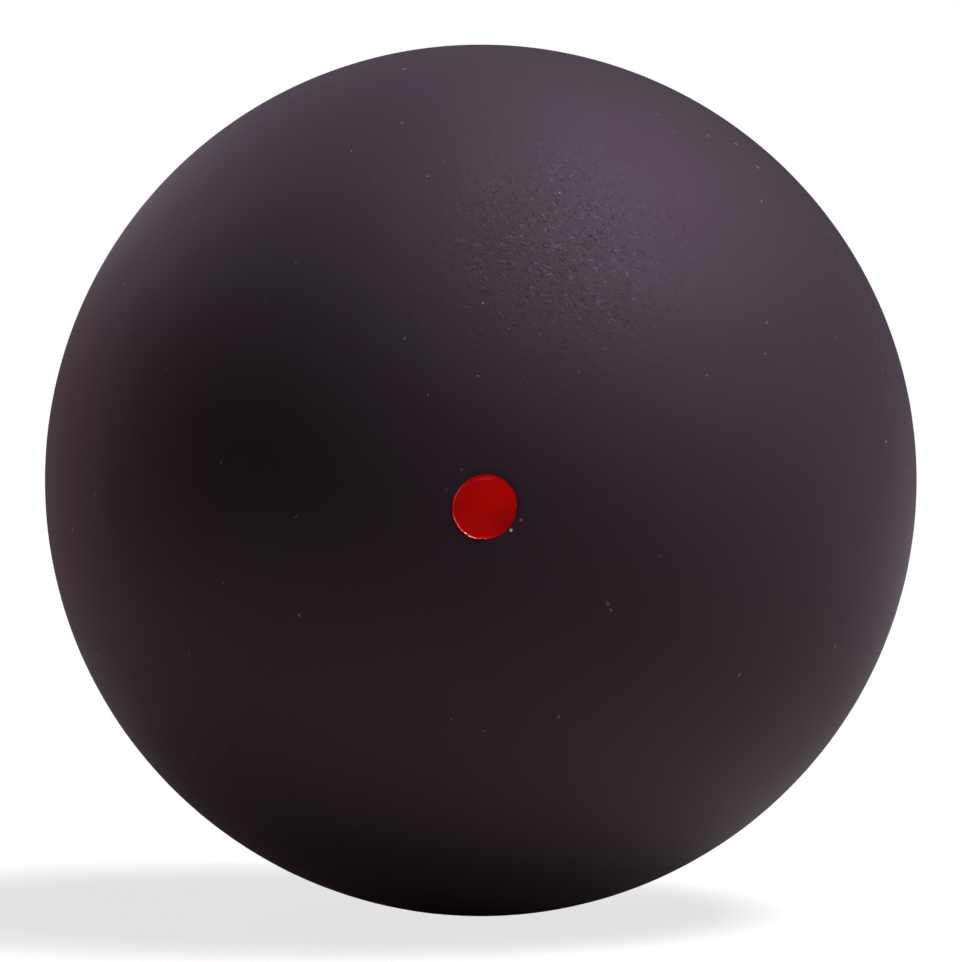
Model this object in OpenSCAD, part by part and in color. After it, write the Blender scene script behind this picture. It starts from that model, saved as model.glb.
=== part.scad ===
// Squash ball: two moulded rubber half shells, butted at a seam and cemented,
// with one painted dot set in a shallow pocket in the front half.
// The centre of the ball is the origin. The seam lies in the XZ plane, the dot
// faces -Y, and the ball stands on its lowest point, straight below the centre.

/* [Ball] */
// Outside diameter of the finished ball
ball_d = 40; // [24:0.5:80]
// Wall of both half shells
wall = 4.5; // [2:0.1:8]

/* [Seam] */
// Thickness of the cured cement between the ground faces
cement_t = 0.12; // [0.06:0.02:0.6]
// Width and depth of the broken edge that buffing leaves along the seam
seam_break = 0.07; // [0.03:0.01:0.3]
// How far the cement lies below the outside of the ball
cement_sink = 0.05; // [0.02:0.01:0.3]
// Radius of the bead of cement squeezed out along the inside of the seam
bead_r = 0.6; // [0.4:0.1:1.5]

/* [Dot] */
// Diameter of the dot, which fills its pocket
dot_d = 2.9; // [1.5:0.1:6]
// Depth of the pocket, measured from the outside of the ball
pocket_depth = 0.3; // [0.25:0.05:1.5]
// How far the dot's face lies below the outside of the ball
dot_sink = 0.07; // [0.02:0.01:0.2]
// Radius of the rounded lip that the paint leaves round the dot's edge
lip_r = 0.12; // [0.08:0.01:0.2]
// How far the lip stands above the dot's face
lip_rise = 0.04; // [0.01:0.01:0.08]
// Width of the worn shoulder round the pocket's mouth
shoulder_w = 0.35; // [0.1:0.05:1]
// Depth of the shoulder where it meets the pocket
shoulder_depth = 0.05; // [0.02:0.01:0.15]

/* [Hidden] */
$fn = 96;

// Cutters run this far past what they cut
overrun = 1;
// Share of the lip's radius that lies between its middle and the dot's edge
lip_edge_share = 0.8;

ball_r = ball_d / 2;
bore_r = ball_r - wall;
face_y = cement_t / 2; // each half's ground face lies this far from the seam
dot_r = dot_d / 2;
pocket_floor_r = ball_r - pocket_depth; // the pocket's floor follows the ball
dot_face_r = ball_r - dot_sink; // and so does the dot's face

// Height of a sphere of radius r above its middle plane, at distance d from its axis.
function cap_height(r, d) = sqrt(r * r - d * d);

// Turns a shape that is built along +Z to face the dot's side, -Y.
module facing_front() {
    rotate([90, 0, 0]) children();
}

// Turns a shape that is built along +Z to face the plain side, +Y.
module facing_rear() {
    rotate([-90, 0, 0]) children();
}

// Half of the hollow ball, above a ground face whose outer edge is broken.
module half_shell() {
    difference() {
        sphere(r = ball_r);
        sphere(r = bore_r);
        below_ground_face();
        broken_edge();
    }
}

// All that grinding takes off below the ground face.
module below_ground_face() {
    depth = ball_r + overrun;
    translate([0, 0, face_y - depth]) cylinder(r = ball_r + overrun, h = depth);
}

// Ring that takes a slanted break off the outer edge of the ground face.
module broken_edge() {
    edge_r = cap_height(ball_r, face_y);
    reach = seam_break + overrun;
    rotate_extrude()
        polygon([
            [edge_r - seam_break, face_y],
            [edge_r - seam_break + reach, face_y + reach],
            [edge_r - seam_break + reach, face_y]
        ]);
}

// Column on the dot's axis, from the ball's centre to past its outside.
module dot_column() {
    cylinder(r = dot_r, h = ball_r + overrun);
}

// Round pocket for the dot.
module pocket() {
    difference() {
        dot_column();
        sphere(r = pocket_floor_r);
    }
}

// Worn shoulder, which slants from the outside of the ball to the pocket's mouth.
module shoulder() {
    shoulder_r = dot_r + shoulder_w;
    mouth_z = cap_height(ball_r, dot_r) - shoulder_depth;
    rotate_extrude()
        polygon([
            [0, mouth_z],
            [dot_r, mouth_z],
            [shoulder_r, cap_height(ball_r, shoulder_r)],
            [shoulder_r, ball_r + overrun],
            [0, ball_r + overrun]
        ]);
}

module front_half_shell() {
    color("#2b262c")
        facing_front()
            difference() {
                half_shell();
                pocket();
                shoulder();
            }
}

module rear_half_shell() {
    color("#2b262c") facing_rear() half_shell();
}

// Cured cement between the ground faces, and the bead along the inside of the seam.
module seam_cement() {
    color("#3a3638")
        facing_front() {
            difference() {
                translate([0, 0, -face_y])
                    cylinder(r = ball_r - cement_sink, h = cement_t);
                cylinder(r = cap_height(bore_r, face_y), h = 2 * overrun, center = true);
            }
            intersection() {
                rotate_extrude() translate([bore_r, 0]) circle(r = bead_r);
                sphere(r = bore_r);
            }
        }
}

// Dot of paint: a thin disc that follows the ball, with a rounded lip.
module red_dot() {
    color("#a01210")
        facing_front()
            difference() {
                intersection() {
                    union() {
                        sphere(r = dot_face_r);
                        paint_lip();
                    }
                    dot_column();
                }
                sphere(r = pocket_floor_r);
            }
}

// Ring whose top stands lip_rise above the dot's face, just inside its edge.
module paint_lip() {
    ring_r = dot_r - lip_edge_share * lip_r;
    translate([0, 0, cap_height(dot_face_r, ring_r) + lip_rise - lip_r])
        rotate_extrude() translate([ring_r, 0]) circle(r = lip_r);
}

front_half_shell();
rear_half_shell();
seam_cement();
red_dot();
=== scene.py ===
"""Looks of a squash ball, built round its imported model.

Two half shells of buffed black rubber are cemented at a seam, and one dot of red
paint fills a shallow pocket in the front half. All lengths are in metres. The
ball's centre is the origin, the dot faces -Y and the seam lies in the XZ plane.
Angles round the dot are taken from +X, the photograph's right, towards +Z, its top.
"""

import math

import bpy
import numpy as np
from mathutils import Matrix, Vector


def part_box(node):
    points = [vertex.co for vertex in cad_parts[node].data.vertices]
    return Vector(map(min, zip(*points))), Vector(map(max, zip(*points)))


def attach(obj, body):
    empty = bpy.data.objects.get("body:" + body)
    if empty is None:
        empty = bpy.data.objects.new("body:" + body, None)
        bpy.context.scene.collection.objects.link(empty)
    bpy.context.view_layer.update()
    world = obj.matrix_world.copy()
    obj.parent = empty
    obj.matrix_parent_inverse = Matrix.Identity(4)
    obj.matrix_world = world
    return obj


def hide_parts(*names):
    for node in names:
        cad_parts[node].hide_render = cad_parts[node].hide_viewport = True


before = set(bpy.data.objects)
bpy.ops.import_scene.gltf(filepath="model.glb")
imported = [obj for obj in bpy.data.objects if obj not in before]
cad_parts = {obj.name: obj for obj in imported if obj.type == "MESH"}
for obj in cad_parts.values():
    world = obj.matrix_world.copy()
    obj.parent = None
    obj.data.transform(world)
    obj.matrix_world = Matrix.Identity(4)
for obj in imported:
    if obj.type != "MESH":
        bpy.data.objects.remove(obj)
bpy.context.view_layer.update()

MM = 0.001


# Sizes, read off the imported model


def reach(node):
    """Least and greatest distance of a node's points from the ball's centre."""
    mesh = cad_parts[node].data
    points = np.empty(len(mesh.vertices) * 3, np.float32)
    mesh.vertices.foreach_get("co", points)
    distance = np.linalg.norm(points.reshape(-1, 3).astype(float), axis=1)
    return distance.min(), distance.max()


BORE_R, BALL_R = reach("rear_half_shell")
FACE_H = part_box("rear_half_shell")[0].y
BEAD_IN_R = reach("seam_cement")[0]
CEMENT_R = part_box("seam_cement")[1].x
DOT_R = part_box("red_dot")[1].x
DOT_FACE_R = -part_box("red_dot")[0].y
POCKET_FLOOR_R = reach("red_dot")[0]

# Shape of the shells' outside

SHOULDER_W = 0.38 * MM
SHOULDER_DEPTH = 0.03 * MM
MOUTH_ROUND = 0.03 * MM
SEAM_ROUND = 0.09 * MM
SEAM_RISE = 0.02
SWELL_SHORT = 0.9 * MM
SWELL_LONG = 4.0 * MM
SWELL_HEIGHT = 0.003 * MM
SWELL_WAVES = 28

# Shape of the cement's rim and bead

RIM_HOLLOW = 0.4 * FACE_H
BEAD_SPAN = math.radians(86)

# Shape of the dot

OVAL = 0.035 * MM
LONG_WAY = math.radians(50)
FACE_SAG = 0.022 * MM
LIP_W = 0.105 * MM
LIP_RISE = 0.066 * MM
LIP_SIDE = math.radians(215)
LIP_SHARE = 0.1
LIP_SWING = 1.15
LIP_BROADER = 0.7
UNDER_LIP = 0.01 * MM
RUN_R = 1.28 * MM
RUN_W = 0.05 * MM
RUN_RISE = 0.020 * MM
UP = math.radians(92)
UP_SPAN = math.radians(22)
# Waves along the dot's edge and along its lip: the height of each, and how many
# times each goes round.
EDGE_WAVE = 0.006 * MM
EDGE_WAVES = (3, 5, 8, 13, 21)
LIP_WAVE = 0.005 * MM
LIP_WAVES = (4, 7, 12, 19, 31, 44)

# Surface of the rubber

CLOUD_SPACING = 5 * MM
RUBBER_GLOSSIEST = 0.71
RUBBER_DULLEST = 0.79
# A fine grit leaves marks about 0.05 mm apart, too fine to show, so they are drawn
# as coarse as the marks that the photograph shows. Of the noise that makes them, the
# stretch from GRAIN_LOW to GRAIN_HIGH is used.
GRAIN_SPACING = 0.20 * MM
GRAIN_TWIST = 1.2
GRAIN_LOW = 0.24
GRAIN_HIGH = 0.76
GRAIN_SPARSE = 3.0
GRAIN_DEPTH = 0.008 * MM
GRAIN_GLOSS = 0.095
# Height of a mark, of 1 at most, where the painted glint on its crest starts to show
# and where the crest would be wholly pale with it.
PAINTED_GLINT_START = 0.3
PAINTED_GLINT_FULL = 1.6
# Patch up and right of the dot, where the overhead lamps' highlight falls, in which the
# marks and their painted glints are strongest. Outside it they keep the share FINE_SHARE
# of their strength.
PATCH_AZIMUTH = math.radians(11)
PATCH_ELEVATION = math.radians(34.5)
PATCH_R = 9.4 * MM
FINE_SHARE = 0.10
# Each fleck of filler draws a number from 0 to 1. It is left out below FLECK_LEAST,
# and would be wholly pale at FLECK_FULL.
FLECK_SPACING = 1.15 * MM
FLECK_R = 0.065 * MM
FLECK_CORE_R = 0.4 * FLECK_R
FLECK_RAGGED = 1.5 * FLECK_R
FLECK_LEAST = 0.3
FLECK_FULL = 1.2
# Pale cream spots beside the dot: distance across and up from its middle, and strength.
PALE_SPOT_R = 0.10 * MM
PALE_SPOTS = (
    (1.15 * MM, -1.02 * MM, 1.0),
    (1.58 * MM, -0.57 * MM, 0.22),
    (-1.01 * MM, 1.63 * MM, 0.1),
    (-1.68 * MM, 0.75 * MM, 0.08),
)

# Surface of the cement and the paint

LUMP_SPACING = 0.3 * MM
LUMP_HEIGHT = 0.02 * MM
FLOW_SPACING = 0.8 * MM
FLOW_HEIGHT = 0.004 * MM
# Painted light and shade on the dot: brighter up and right and darker at the lower right
# and at the left, as light would fall on a crowned face. Distance across and up from the
# dot's middle, reach, and colour there.
PAINTED_LIGHT_AND_SHADE_SPOTS = (
    (0.55 * MM, 0.75 * MM, 1.4 * MM, "#e50a05"),
    (1.11 * MM, -0.79 * MM, 1.3 * MM, "#b80603"),
    (-1.45 * MM, -0.05 * MM, 1.05 * MM, "#c40703"),
)

# Points round a turn and along each stretch of a profile

TURNS = 480
OUTSIDE_STEPS = 146
SEAM_STEPS = 10
BORE_STEPS = 26
POCKET_FLOOR_STEPS = 10
MOUTH_STEPS = 6
SHOULDER_STEPS = 16
RIM_STEPS = 9
BEAD_STEPS = 17
DOT_FACE_STEPS = 14
DOT_LIP_STEPS = 44
DOT_FLOOR_STEPS = 8
# Faces that meet at a sharper angle than this show an edge.
SMOOTH_ANGLE = math.radians(35)
SEED = 7


# Profiles and surfaces


def cap_height(radius, off_axis):
    """Height of a sphere over its middle plane: the root of radius squared less
    off_axis squared."""
    return np.sqrt(radius**2 - off_axis**2)


def arc(radius, start, stop, steps):
    """Points on a circle about the ball's centre, as (distance from the axis,
    height along it), at even angles from start to stop, measured from the axis."""
    angle = np.linspace(start, stop, steps)
    return np.column_stack([radius * np.sin(angle), radius * np.cos(angle)])


def fillet(corner, before, after, radius, steps):
    """Rounds a corner of a profile: a quadratic curve from radius short of the
    corner, on the side of before, to radius past it, on the side of after."""
    corner, before, after = (np.asarray(p, float) for p in (corner, before, after))
    a = corner + radius * (before - corner) / np.linalg.norm(before - corner)
    b = corner + radius * (after - corner) / np.linalg.norm(after - corner)
    t = np.linspace(0, 1, steps)[:, None]
    return (1 - t) ** 2 * a + 2 * t * (1 - t) * corner + t**2 * b


def seam_edge():
    """Edge between the ball's outside and the ground face, broken by buffing. It
    comes from a point on the ball that is SEAM_RISE radians above the seam."""
    edge_r = cap_height(BALL_R, FACE_H)
    above = arc(BALL_R, math.pi / 2 - SEAM_RISE, math.pi / 2, 2)[0]
    return fillet((edge_r, FACE_H), above, (BORE_R, FACE_H), SEAM_ROUND, SEAM_STEPS)


def bore_side():
    """Ground face's inner edge, then the moulded inside up to the axis."""
    at_face = math.acos(FACE_H / BORE_R)
    return arc(BORE_R, at_face, 0, BORE_STEPS)


def pocket_side():
    """Pocket's floor, its wall with a rounded mouth, and the worn shoulder, which
    sinks by SHOULDER_DEPTH times the square of the share of its width still to go."""
    floor = arc(POCKET_FLOOR_R, 0, math.asin(DOT_R / POCKET_FLOOR_R), POCKET_FLOOR_STEPS)
    to_go = np.linspace(1, 0, SHOULDER_STEPS)
    off_axis = DOT_R + SHOULDER_W * (1 - to_go)
    worn = np.column_stack([off_axis, cap_height(BALL_R, off_axis) - SHOULDER_DEPTH * to_go**2])
    mouth = fillet(worn[0], floor[-1], worn[2], MOUTH_ROUND, MOUTH_STEPS)
    return np.vstack([floor, mouth, worn[2:]])


def shell_profile(pocketed):
    """Closed outline of one half shell, from the axis round its outside, over the
    ground face and back along its inside."""
    start = math.asin((DOT_R + SHOULDER_W) / BALL_R) if pocketed else 0
    stop = math.acos((FACE_H + SEAM_ROUND) / BALL_R)
    outside = arc(BALL_R, start, stop, OUTSIDE_STEPS)
    if pocketed:
        outside = np.vstack([pocket_side(), outside[1:]])
    return np.vstack([outside[:-1], seam_edge(), bore_side()])


def swell(points):
    """Faint unevenness left by buffing: a sum of cosine waves that run in random
    directions, whose height grows with their length."""
    draw = np.random.default_rng(SEED)
    heading = draw.normal(size=(3, SWELL_WAVES))
    heading /= np.linalg.norm(heading, axis=0)
    length = np.exp(draw.uniform(math.log(SWELL_SHORT), math.log(SWELL_LONG), SWELL_WAVES))
    phase = draw.uniform(0, 2 * math.pi, SWELL_WAVES)
    waves = np.cos(points @ (heading * 2 * math.pi / length) + phase)
    return SWELL_HEIGHT * (waves @ (length / length.max())) / math.sqrt(SWELL_WAVES / 2)


def ripple(angle, counts, seed):
    """Sum of sine waves round the dot. Each goes round it a whole number of times,
    given in counts, and starts at random."""
    draw = np.random.default_rng(seed)
    return sum(np.sin(n * angle + draw.uniform(0, 2 * math.pi)) for n in counts)


def wander(grid):
    """Makes the dot and its pocket a little oval and uneven: a point's distance from
    the axis shrinks by OVAL times one less the cosine of twice its angle from the
    long way, and changes by a ripple. This is most at the dot's edge and nothing
    past the shoulder or on the axis."""
    off_axis = np.hypot(grid[..., 0], grid[..., 2])
    angle = np.arctan2(grid[..., 2], grid[..., 0])
    share = np.clip(np.minimum(off_axis / DOT_R, 1 + (DOT_R - off_axis) / SHOULDER_W), 0, 1)
    shift = EDGE_WAVE * ripple(angle, EDGE_WAVES, SEED)
    shift -= OVAL * (1 - np.cos(2 * (angle - LONG_WAY)))
    near_axis = DOT_R / 10
    stretch = 1 + shift * share / np.maximum(off_axis, near_axis)
    return grid * np.stack([stretch, np.ones_like(stretch), stretch], axis=-1)


def revolve(profile, facing, closed=False, shape=None):
    """Surface of revolution about the Y axis: point (distance d, height h) of the
    profile at angle t goes to (d cos t, facing times h, d sin t). The profile runs
    clockwise, with d to the right and h up, so that the faces point outwards. Ends
    that lie on the axis become single points. shape changes the grid first."""
    angle = np.linspace(0, 2 * math.pi, TURNS, endpoint=False)
    far = profile[:, :1]
    height = np.repeat(facing * profile[:, 1:], TURNS, axis=1)
    grid = np.stack([far * np.cos(angle), height, far * np.sin(angle)], axis=-1)
    if shape is not None:
        grid = shape(grid)
    index = np.arange(height.size).reshape(height.shape)
    if closed:
        lower, upper = index, np.roll(index, -1, axis=0)
    else:
        index[0] = index[0, 0]
        index[-1] = index[-1, 0]
        lower, upper = index[:-1], index[1:]
    faces = np.stack(
        [lower, np.roll(lower, -1, axis=1), np.roll(upper, -1, axis=1), upper], axis=-1
    ).reshape(-1, 4)
    if facing < 0:
        faces = faces[:, ::-1]
    return grid.reshape(-1, 3), faces


def make_piece(name, points, faces):
    """Mesh object from points and four-sided faces. A face whose corners coincide
    at a pole becomes a triangle, and points that no face uses are left out."""
    used, flat = np.unique(faces, return_inverse=True)
    flat = flat.reshape(faces.shape)
    keep = flat != np.roll(flat, 1, axis=1)
    sizes = keep.sum(axis=1)
    mesh = bpy.data.meshes.new(name)
    mesh.vertices.add(len(used))
    mesh.vertices.foreach_set("co", points[used].astype(np.float32).ravel())
    mesh.loops.add(int(sizes.sum()))
    mesh.loops.foreach_set("vertex_index", flat[keep].astype(np.int32))
    mesh.polygons.add(len(sizes))
    starts = np.concatenate([[0], np.cumsum(sizes)[:-1]])
    mesh.polygons.foreach_set("loop_start", starts.astype(np.int32))
    mesh.update(calc_edges=True)
    mesh.validate()
    mesh.shade_smooth()
    mesh.set_sharp_from_angle(angle=SMOOTH_ANGLE)
    piece = bpy.data.objects.new(name, mesh)
    bpy.context.scene.collection.objects.link(piece)
    return piece


def half_shell(name, facing, pocketed):
    """One half shell, whose outside carries the swell, fading out at the pocket
    and at the seam."""

    def buffed(grid):
        distance = np.linalg.norm(grid, axis=-1, keepdims=True)
        off_axis = np.linalg.norm(grid[..., [0, 2]], axis=-1)
        fade_in = np.clip((off_axis - DOT_R - SHOULDER_W) / SWELL_SHORT, 0, 1)
        fade_out = np.clip((np.abs(grid[..., 1]) - FACE_H - SEAM_ROUND) / SWELL_SHORT, 0, 1)
        outside = distance[..., 0] > BALL_R - SEAM_ROUND
        share = outside * fade_out * (fade_in if pocketed else 1)
        rise = swell(grid.reshape(-1, 3)).reshape(share.shape) * share
        grid = grid * (1 + rise[..., None] / distance)
        return wander(grid) if pocketed else grid

    points, faces = revolve(shell_profile(pocketed), facing, shape=buffed)
    return make_piece(name, points, faces)


def cement_ring():
    """Cement between the ground faces, and its bead inside: the ring's outline is
    two straight faces, a hollowed rim, and a half round bead kept inside the bore."""
    bead_r = BORE_R - BEAD_IN_R
    t = np.linspace(-1, 1, RIM_STEPS)[:, None]
    rim = np.hstack([CEMENT_R - RIM_HOLLOW * (1 - t**2), FACE_H * t])
    angle = np.linspace(BEAD_SPAN, -BEAD_SPAN, BEAD_STEPS)
    bead = np.column_stack([BORE_R - bead_r * np.cos(angle), bead_r * np.sin(angle)])
    bead[:, 0] *= np.minimum(1, cap_height(BORE_R, bead[:, 1]) / bead[:, 0])
    inner_r = cap_height(BORE_R, FACE_H)
    profile = np.vstack([rim, (inner_r, FACE_H), bead, (inner_r, -FACE_H)])
    points, faces = revolve(profile[::-1], 1, closed=True)
    return make_piece("cement_ring", points, faces)


def paint_dot():
    """Dot of paint that wets its pocket's wall: a face that settled flatter than the
    ball, FACE_SAG lower at its edge by the square of the distance, and a lip that
    curves up to the wall, LIP_RISE times the square of the share of its width
    passed. The paint set on a slant, so the lip is full about LIP_SIDE and fades
    out opposite: its fullness is LIP_SHARE and LIP_SWING times the cosine of the
    angle from there, kept between 0 and 1. A ripple makes it uneven. At the bottom
    it is broader, and at the top a run of paint stands up from the face, both by a
    bell curve of the angle."""
    lip_start = DOT_R - 2 * LIP_W
    middle = np.linspace(0, lip_start, DOT_FACE_STEPS)[:-1]
    off_axis = np.concatenate([middle, np.linspace(lip_start, DOT_R, DOT_LIP_STEPS)])
    face = np.column_stack([off_axis, DOT_FACE_R - FACE_SAG * (off_axis / DOT_R) ** 2])
    under_lip = (DOT_R, face[-1, 1] - UNDER_LIP)
    floor = arc(POCKET_FLOOR_R, math.asin(DOT_R / POCKET_FLOOR_R), 0, DOT_FLOOR_STEPS)

    def settled(grid):
        top = grid[: len(off_axis)]
        angle = np.arctan2(top[..., 2], top[..., 0])
        far = np.hypot(top[..., 0], top[..., 2])
        full = np.clip(LIP_SHARE + LIP_SWING * np.cos(angle - LIP_SIDE), 0, 1)
        width = LIP_W * (1 + LIP_BROADER * np.exp(-(((angle + UP) / UP_SPAN) ** 2)))
        across = np.clip(1 - (DOT_R - far) / width, 0, 1)
        uneven = LIP_RISE + LIP_WAVE * ripple(angle, LIP_WAVES, SEED + 1)
        run = np.exp(-(((far - RUN_R) / RUN_W) ** 2) - ((angle - UP) / UP_SPAN) ** 2)
        grid = grid.copy()
        grid[: len(off_axis), :, 1] -= uneven * full * across**2 + RUN_RISE * run
        return wander(grid)

    points, faces = revolve(np.vstack([face, under_lip, floor]), -1, shape=settled)
    return make_piece("paint_dot", points, faces)


# Materials

SMOOTH = {"interpolation_type": "SMOOTHSTEP"}

# A node that mixes colours, and the places of its share, its colours and its result.
COLOURS = {"data_type": "RGBA"}
MIX_SHARE = 0
FIRST = 6
SECOND = 7
MIXED = 2


def linear(hex_colour):
    """An sRGB hex colour as linear red, green, blue and alpha."""
    parts = [int(hex_colour[i : i + 2], 16) / 255 for i in (1, 3, 5)]
    toned = [c / 12.92 if c <= 0.04045 else ((c + 0.055) / 1.055) ** 2.4 for c in parts]
    return (*toned, 1)


def direction(azimuth, elevation):
    """Unit vector from the ball towards a place seen at these angles: azimuth 0 is
    in front, on -Y, and 90 degrees is on +X."""
    return Vector(
        (
            math.sin(azimuth) * math.cos(elevation),
            -math.cos(azimuth) * math.cos(elevation),
            math.sin(elevation),
        )
    )


def add_node(tree, kind, settings=None, links=None):
    """Adds a node, sets its properties and its sockets' values, and joins its
    inputs to the outputs that links names. A whole number is a socket's place."""
    node = tree.nodes.new(kind)
    for key, value in (settings or {}).items():
        if isinstance(key, int) or key in node.inputs:
            node.inputs[key].default_value = value
        else:
            setattr(node, key, value)
    for key, output in (links or {}).items():
        tree.links.new(output, node.inputs[key])
    return node


def new_material(name):
    """An empty node material, with its tree and each point's place on the object."""
    material = bpy.data.materials.new(name)
    material.use_nodes = True
    tree = material.node_tree
    tree.nodes.clear()
    place = add_node(tree, "ShaderNodeTexCoord").outputs["Object"]
    return material, tree, place


def dab(tree, place, tone, middle, dab_r, colour, strength=1.0):
    """Turns a tone towards a colour round a place: by strength at its middle, fading
    smoothly to nothing at dab_r from it."""
    far = add_node(
        tree, "ShaderNodeVectorMath", {"operation": "DISTANCE", 1: middle}, {0: place}
    ).outputs["Value"]
    share = add_node(
        tree,
        "ShaderNodeMapRange",
        {**SMOOTH, "From Min": dab_r, "From Max": 0, "To Max": strength},
        {"Value": far},
    ).outputs[0]
    return add_node(
        tree,
        "ShaderNodeMix",
        {**COLOURS, SECOND: linear(colour)},
        {MIX_SHARE: share, FIRST: tone},
    ).outputs[MIXED]


def buffing_marks(tree, place):
    """Short worm-like marks, up to 1 where raised and down to -1 where sunken: a
    twisted noise, stretched over that range and raised to an odd power, which
    leaves most of the ground between the marks near 0."""
    noise = add_node(
        tree,
        "ShaderNodeTexNoise",
        {"Scale": 1 / GRAIN_SPACING, "Detail": 0.0, "Distortion": GRAIN_TWIST},
        {"Vector": place},
    ).outputs["Fac"]
    stretched = add_node(
        tree,
        "ShaderNodeMapRange",
        {"From Min": GRAIN_LOW, "From Max": GRAIN_HIGH, "To Min": -1.0},
        {"Value": noise},
    ).outputs[0]
    return add_node(
        tree, "ShaderNodeMath", {"operation": "POWER", 1: GRAIN_SPARSE}, {0: stretched}
    ).outputs[0]


def grain_and_glint_patch(tree, place):
    """How strong the buffing marks and their painted glints are: 1 in the middle of the
    patch up and right of the dot, where the overhead lamps' highlight falls, fading
    smoothly to FINE_SHARE at PATCH_R from it."""
    far = add_node(
        tree,
        "ShaderNodeVectorMath",
        {"operation": "DISTANCE", 1: direction(PATCH_AZIMUTH, PATCH_ELEVATION) * BALL_R},
        {0: place},
    ).outputs["Value"]
    return add_node(
        tree,
        "ShaderNodeMapRange",
        {**SMOOTH, "From Min": PATCH_R, "From Max": 0, "To Min": FINE_SHARE},
        {"Value": far},
    ).outputs[0]


def filler_flecks(tree, place, marks):
    """Flecks at random places, up to 1 in the middle and 0 outside, whose edges
    follow the buffing marks. The fainter ones are the more common."""
    cell = add_node(
        tree, "ShaderNodeTexVoronoi", {"Scale": 1 / FLECK_SPACING}, {"Vector": place}
    )
    far = add_node(
        tree,
        "ShaderNodeMath",
        {"operation": "MULTIPLY_ADD", 1: FLECK_RAGGED / FLECK_SPACING},
        {0: marks, 2: cell.outputs["Distance"]},
    ).outputs[0]
    near = add_node(
        tree,
        "ShaderNodeMapRange",
        {
            **SMOOTH,
            "From Min": FLECK_R / FLECK_SPACING,
            "From Max": FLECK_CORE_R / FLECK_SPACING,
        },
        {"Value": far},
    ).outputs[0]
    draw = add_node(
        tree, "ShaderNodeSeparateColor", {}, {"Color": cell.outputs["Color"]}
    ).outputs[0]
    strength = add_node(
        tree,
        "ShaderNodeMapRange",
        {**SMOOTH, "From Min": FLECK_LEAST, "From Max": FLECK_FULL},
        {"Value": draw},
    ).outputs[0]
    return add_node(
        tree, "ShaderNodeMath", {"operation": "MULTIPLY"}, {0: near, 1: strength}
    ).outputs[0]


def buffed_rubber():
    """Filled butyl rubber, moulded and then buffed with a fine grit. It is a matt,
    faintly purple black, whose nap glows softly towards its edges. Buffing leaves
    sparse worm-like marks: the raised ones are glossier, with pale bluish crests that
    are painted glints, and the sunken ones are duller. A few flecks of filler are
    pale, and a few pale cream spots lie beside the dot."""
    material, tree, place = new_material("buffed_butyl_rubber")
    cloud = add_node(
        tree, "ShaderNodeTexNoise", {"Scale": 1 / CLOUD_SPACING, "Detail": 3.0}, {"Vector": place}
    ).outputs["Fac"]
    tone = add_node(
        tree,
        "ShaderNodeMix",
        {**COLOURS, FIRST: linear("#140c0e"), SECOND: linear("#180d0f")},
        {MIX_SHARE: cloud},
    ).outputs[MIXED]
    marks = buffing_marks(tree, place)
    grain = add_node(
        tree,
        "ShaderNodeMath",
        {"operation": "MULTIPLY"},
        {0: marks, 1: grain_and_glint_patch(tree, place)},
    ).outputs[0]
    # Painted glint: the crests of the raised marks turn a pale bluish grey, most of all in the
    # patch where the overhead lamps' highlight falls.
    painted_glint = add_node(
        tree,
        "ShaderNodeMapRange",
        {"From Min": PAINTED_GLINT_START, "From Max": PAINTED_GLINT_FULL},
        {"Value": grain},
    ).outputs[0]
    tone = add_node(
        tree,
        "ShaderNodeMix",
        {**COLOURS, SECOND: linear("#312e3b")},
        {MIX_SHARE: painted_glint, FIRST: tone},
    ).outputs[MIXED]
    fleck = filler_flecks(tree, place, marks)
    tone = add_node(
        tree,
        "ShaderNodeMix",
        {**COLOURS, SECOND: linear("#8a7d76")},
        {MIX_SHARE: fleck, FIRST: tone},
    ).outputs[MIXED]
    # Pale cream spots beside the dot.
    for across, up, strength in PALE_SPOTS:
        middle = (across, -cap_height(BALL_R, math.hypot(across, up)), up)
        tone = dab(tree, place, tone, middle, PALE_SPOT_R, "#fff0d8", strength)
    rough = add_node(
        tree,
        "ShaderNodeMapRange",
        {"To Min": RUBBER_GLOSSIEST, "To Max": RUBBER_DULLEST},
        {"Value": cloud},
    ).outputs[0]
    rough = add_node(
        tree,
        "ShaderNodeMath",
        {"operation": "MULTIPLY_ADD", 1: -GRAIN_GLOSS},
        {0: grain, 2: rough},
    ).outputs[0]
    relief = add_node(
        tree, "ShaderNodeMath", {"operation": "ADD"}, {0: grain, 1: fleck}
    ).outputs[0]
    bump = add_node(
        tree, "ShaderNodeBump", {"Strength": 1.0, "Distance": GRAIN_DEPTH}, {"Height": relief}
    ).outputs["Normal"]
    skin = add_node(
        tree,
        "ShaderNodeBsdfPrincipled",
        {
            "IOR": 1.52,
            "Specular Tint": linear("#ffd7ff"),
            "Sheen Weight": 0.07,
            "Sheen Roughness": 0.5,
            "Sheen Tint": linear("#ffe7ff"),
        },
        {"Base Color": tone, "Roughness": rough, "Normal": bump},
    )
    add_node(tree, "ShaderNodeOutputMaterial", {}, {"Surface": skin.outputs[0]})
    return material


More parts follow.
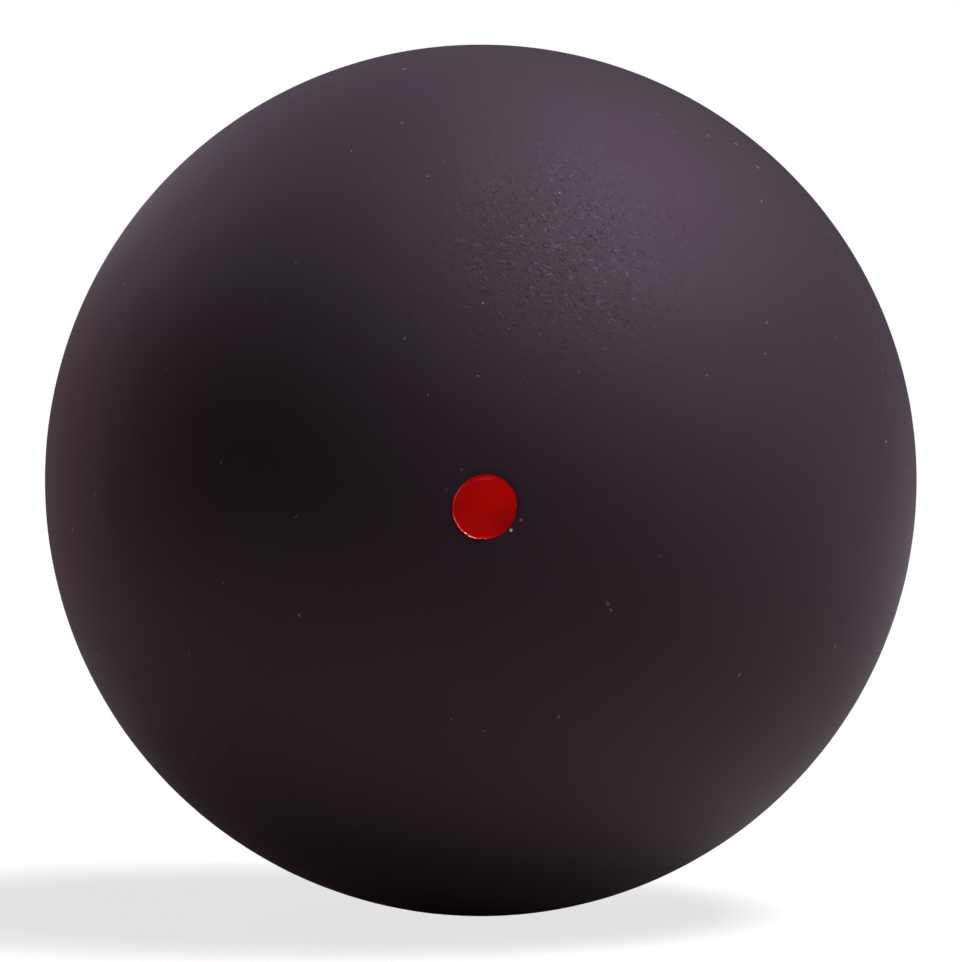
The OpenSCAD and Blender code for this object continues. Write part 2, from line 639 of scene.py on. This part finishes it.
def cured_cement():
    """Rubber cement, squeezed out and cured in the mould: dark grey and duller
    than the rubber, with a lumpy skin."""
    material, tree, place = new_material("cured_rubber_cement")
    lumps = add_node(
        tree, "ShaderNodeTexNoise", {"Scale": 1 / LUMP_SPACING, "Detail": 2.0}, {"Vector": place}
    ).outputs["Fac"]
    tone = add_node(
        tree,
        "ShaderNodeMix",
        {**COLOURS, FIRST: linear("#2c272b"), SECOND: linear("#3c3639")},
        {MIX_SHARE: lumps},
    ).outputs[MIXED]
    bump = add_node(
        tree, "ShaderNodeBump", {"Distance": LUMP_HEIGHT}, {"Height": lumps}
    ).outputs["Normal"]
    skin = add_node(
        tree,
        "ShaderNodeBsdfPrincipled",
        {"Roughness": 0.8, "IOR": 1.52},
        {"Base Color": tone, "Normal": bump},
    )
    add_node(tree, "ShaderNodeOutputMaterial", {}, {"Surface": skin.outputs[0]})
    return material


def dot_paint():
    """Red elastic paint, dropped into the pocket and left to level: a smooth satin
    red whose lip catches the light, with painted light and shade: a little brighter up
    and right, and darker at the lower right and at the left."""
    material, tree, place = new_material("red_elastic_paint")
    flow = add_node(
        tree, "ShaderNodeTexNoise", {"Scale": 1 / FLOW_SPACING, "Detail": 2.0}, {"Vector": place}
    ).outputs["Fac"]
    tone = add_node(
        tree,
        "ShaderNodeMix",
        {**COLOURS, FIRST: linear("#d40703"), SECOND: linear("#e00905")},
        {MIX_SHARE: flow},
    ).outputs[MIXED]
    # Painted light and shade: spots brighter up and right and darker at the lower right and at
    # the left.
    for across, up, spot_r, colour in PAINTED_LIGHT_AND_SHADE_SPOTS:
        tone = dab(tree, place, tone, (across, -DOT_FACE_R, up), spot_r, colour)
    bump = add_node(
        tree, "ShaderNodeBump", {"Strength": 0.6, "Distance": FLOW_HEIGHT}, {"Height": flow}
    ).outputs["Normal"]
    skin = add_node(
        tree,
        "ShaderNodeBsdfPrincipled",
        {"Roughness": 0.24, "IOR": 1.48},
        {"Base Color": tone, "Normal": bump},
    )
    add_node(tree, "ShaderNodeOutputMaterial", {}, {"Surface": skin.outputs[0]})
    return material


# Studio

# Pixels of the photograph: its size, and the middle and radius of the ball in it.
PHOTO_W = 960
PHOTO_H = 962
BALL_PX = (480.8, 480.4)
BALL_PX_R = 435.9
CAMERA_FAR = 20 * BALL_R
CAMERA_AZIMUTH = math.radians(-0.49)
CAMERA_ELEVATION = math.radians(3.33)
SENSOR = 36.0
SOFTBOX_FAR = 1.0
SOFTBOX_W = 0.35
# As far as FLOOR_SOLID_R the share FLOOR_CLEAR of the floor is see-through, and at
# FLOOR_R all of it. To the camera at least the share FLOOR_CLEAR_SEEN always is.
FLOOR_R = 0.10
FLOOR_SOLID_R = 0.05
FLOOR_CLEAR = 0.4
FLOOR_CLEAR_SEEN = 0.75
FLOOR_RINGS = 5
FLOOR_TURNS = 96


def add_camera():
    """Camera on the photograph's line of sight, with the ball's outline at the
    photograph's size: the outline's cone has a half angle whose sine is the ball's
    radius over the distance."""
    camera = bpy.data.cameras.new("camera")
    slope = math.tan(math.asin(BALL_R / CAMERA_FAR))
    camera.sensor_width = SENSOR
    camera.lens = BALL_PX_R / slope * SENSOR / PHOTO_H
    camera.shift_x = (PHOTO_W / 2 - BALL_PX[0]) / PHOTO_H
    camera.shift_y = (BALL_PX[1] - PHOTO_H / 2) / PHOTO_H
    camera.clip_start = 0.01
    camera.clip_end = 20.0
    back = direction(CAMERA_AZIMUTH, CAMERA_ELEVATION)
    holder = bpy.data.objects.new("camera", camera)
    holder.location = back * CAMERA_FAR
    holder.rotation_mode = "QUATERNION"
    holder.rotation_quaternion = (-back).to_track_quat("-Z", "Y")
    bpy.context.scene.collection.objects.link(holder)
    bpy.context.scene.camera = holder


def add_softbox(name, azimuth, elevation, power, colour):
    """Square soft light that faces the ball from the direction given in degrees,
    with its power in watts. It is hidden from the camera."""
    lamp = bpy.data.lights.new(name, "AREA")
    lamp.shape = "SQUARE"
    lamp.size = SOFTBOX_W
    lamp.energy = power
    lamp.color = linear(colour)[:3]
    towards = direction(math.radians(azimuth), math.radians(elevation))
    holder = bpy.data.objects.new(name, lamp)
    holder.location = towards * SOFTBOX_FAR
    holder.rotation_mode = "QUATERNION"
    holder.rotation_quaternion = towards.to_track_quat("Z", "Y")
    holder.visible_camera = False
    bpy.context.scene.collection.objects.link(holder)


def pale_floor_paint():
    """Matt sweep in a slightly warm white, which fades out with distance so that no
    edge shows."""
    material, tree, place = new_material("matt_white_sweep")
    far = add_node(
        tree, "ShaderNodeVectorMath", {"operation": "LENGTH"}, {0: place}
    ).outputs["Value"]
    fade = add_node(
        tree,
        "ShaderNodeMapRange",
        {**SMOOTH, "From Min": FLOOR_SOLID_R, "From Max": FLOOR_R, "To Min": FLOOR_CLEAR},
        {"Value": far},
    ).outputs[0]
    seen = add_node(tree, "ShaderNodeLightPath").outputs["Is Camera Ray"]
    seen = add_node(
        tree, "ShaderNodeMath", {"operation": "MULTIPLY", 1: FLOOR_CLEAR_SEEN}, {0: seen}
    ).outputs[0]
    fade = add_node(
        tree, "ShaderNodeMath", {"operation": "MAXIMUM"}, {0: fade, 1: seen}
    ).outputs[0]
    white = add_node(
        tree, "ShaderNodeBsdfDiffuse", {"Color": linear("#f5efe9")}
    ).outputs[0]
    clear = add_node(tree, "ShaderNodeBsdfTransparent").outputs[0]
    mixed = add_node(
        tree, "ShaderNodeMixShader", {}, {0: fade, 1: white, 2: clear}
    ).outputs[0]
    add_node(tree, "ShaderNodeOutputMaterial", {}, {"Surface": mixed})
    return material


def add_floor():
    """Round pale floor under the ball: rings of points about the resting point."""
    angle = np.linspace(0, 2 * math.pi, FLOOR_TURNS, endpoint=False)
    radius = np.linspace(0, FLOOR_R, FLOOR_RINGS)[:, None]
    height = np.full((FLOOR_RINGS, FLOOR_TURNS), -BALL_R)
    grid = np.stack([radius * np.cos(angle), radius * np.sin(angle), height], axis=-1)
    index = np.arange(height.size).reshape(height.shape)
    index[0] = 0
    lower, upper = index[:-1], index[1:]
    faces = np.stack(
        [lower, upper, np.roll(upper, -1, axis=1), np.roll(lower, -1, axis=1)], axis=-1
    )
    floor = make_piece("floor", grid.reshape(-1, 3), faces.reshape(-1, 4))
    floor.data.materials.append(pale_floor_paint())


def add_room():
    """Dim room light all round, with a white backdrop that only the camera sees."""
    world = bpy.data.worlds.new("room")
    bpy.context.scene.world = world
    world.use_nodes = True
    tree = world.node_tree
    tree.nodes.clear()
    seen = add_node(tree, "ShaderNodeLightPath").outputs["Is Camera Ray"]
    dim = add_node(
        tree, "ShaderNodeBackground", {"Color": linear("#ffffff"), "Strength": 0.005}
    ).outputs[0]
    white = add_node(
        tree, "ShaderNodeBackground", {"Color": linear("#ffffff"), "Strength": 1.0}
    ).outputs[0]
    mixed = add_node(
        tree, "ShaderNodeMixShader", {}, {0: seen, 1: dim, 2: white}
    ).outputs[0]
    add_node(tree, "ShaderNodeOutputWorld", {}, {"Surface": mixed})


# The ball and its studio

rubber = buffed_rubber()
front = half_shell("front_shell_rubber", -1, pocketed=True)
rear = half_shell("rear_shell_rubber", 1, pocketed=False)
cement = cement_ring()
dot = paint_dot()
for piece, node, slot, material in (
    (front, "front_half_shell", "shell_rubber", rubber),
    (rear, "rear_half_shell", "shell_rubber", rubber),
    (cement, "seam_cement", "cement", cured_cement()),
    (dot, "red_dot", "dot_paint", dot_paint()),
):
    piece.data.materials.append(material)
    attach(piece, "root")
    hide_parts(node)

add_camera()
add_floor()
add_room()
for name, azimuth, elevation, power, colour in (
    ("overhead_right", 90, 65, 10.35, "#fbfeff"),
    ("overhead_front", 60, 62, 6.6, "#fbfeff"),
    ("side_right", 79, 25, 1.35, "#ffffff"),
    ("back_left_high", 225, 40, 0.9, "#e2d8ff"),
    ("back_left", 225, 18, 1.0, "#eceeff"),
    ("back_left_low", 240, 6, 0.85, "#ffb298"),
    ("back_low", 210, 3, 0.4, "#ffac98"),
):
    add_softbox(name, azimuth, elevation, power, colour)
bpy.context.scene.view_settings.view_transform = "Standard"
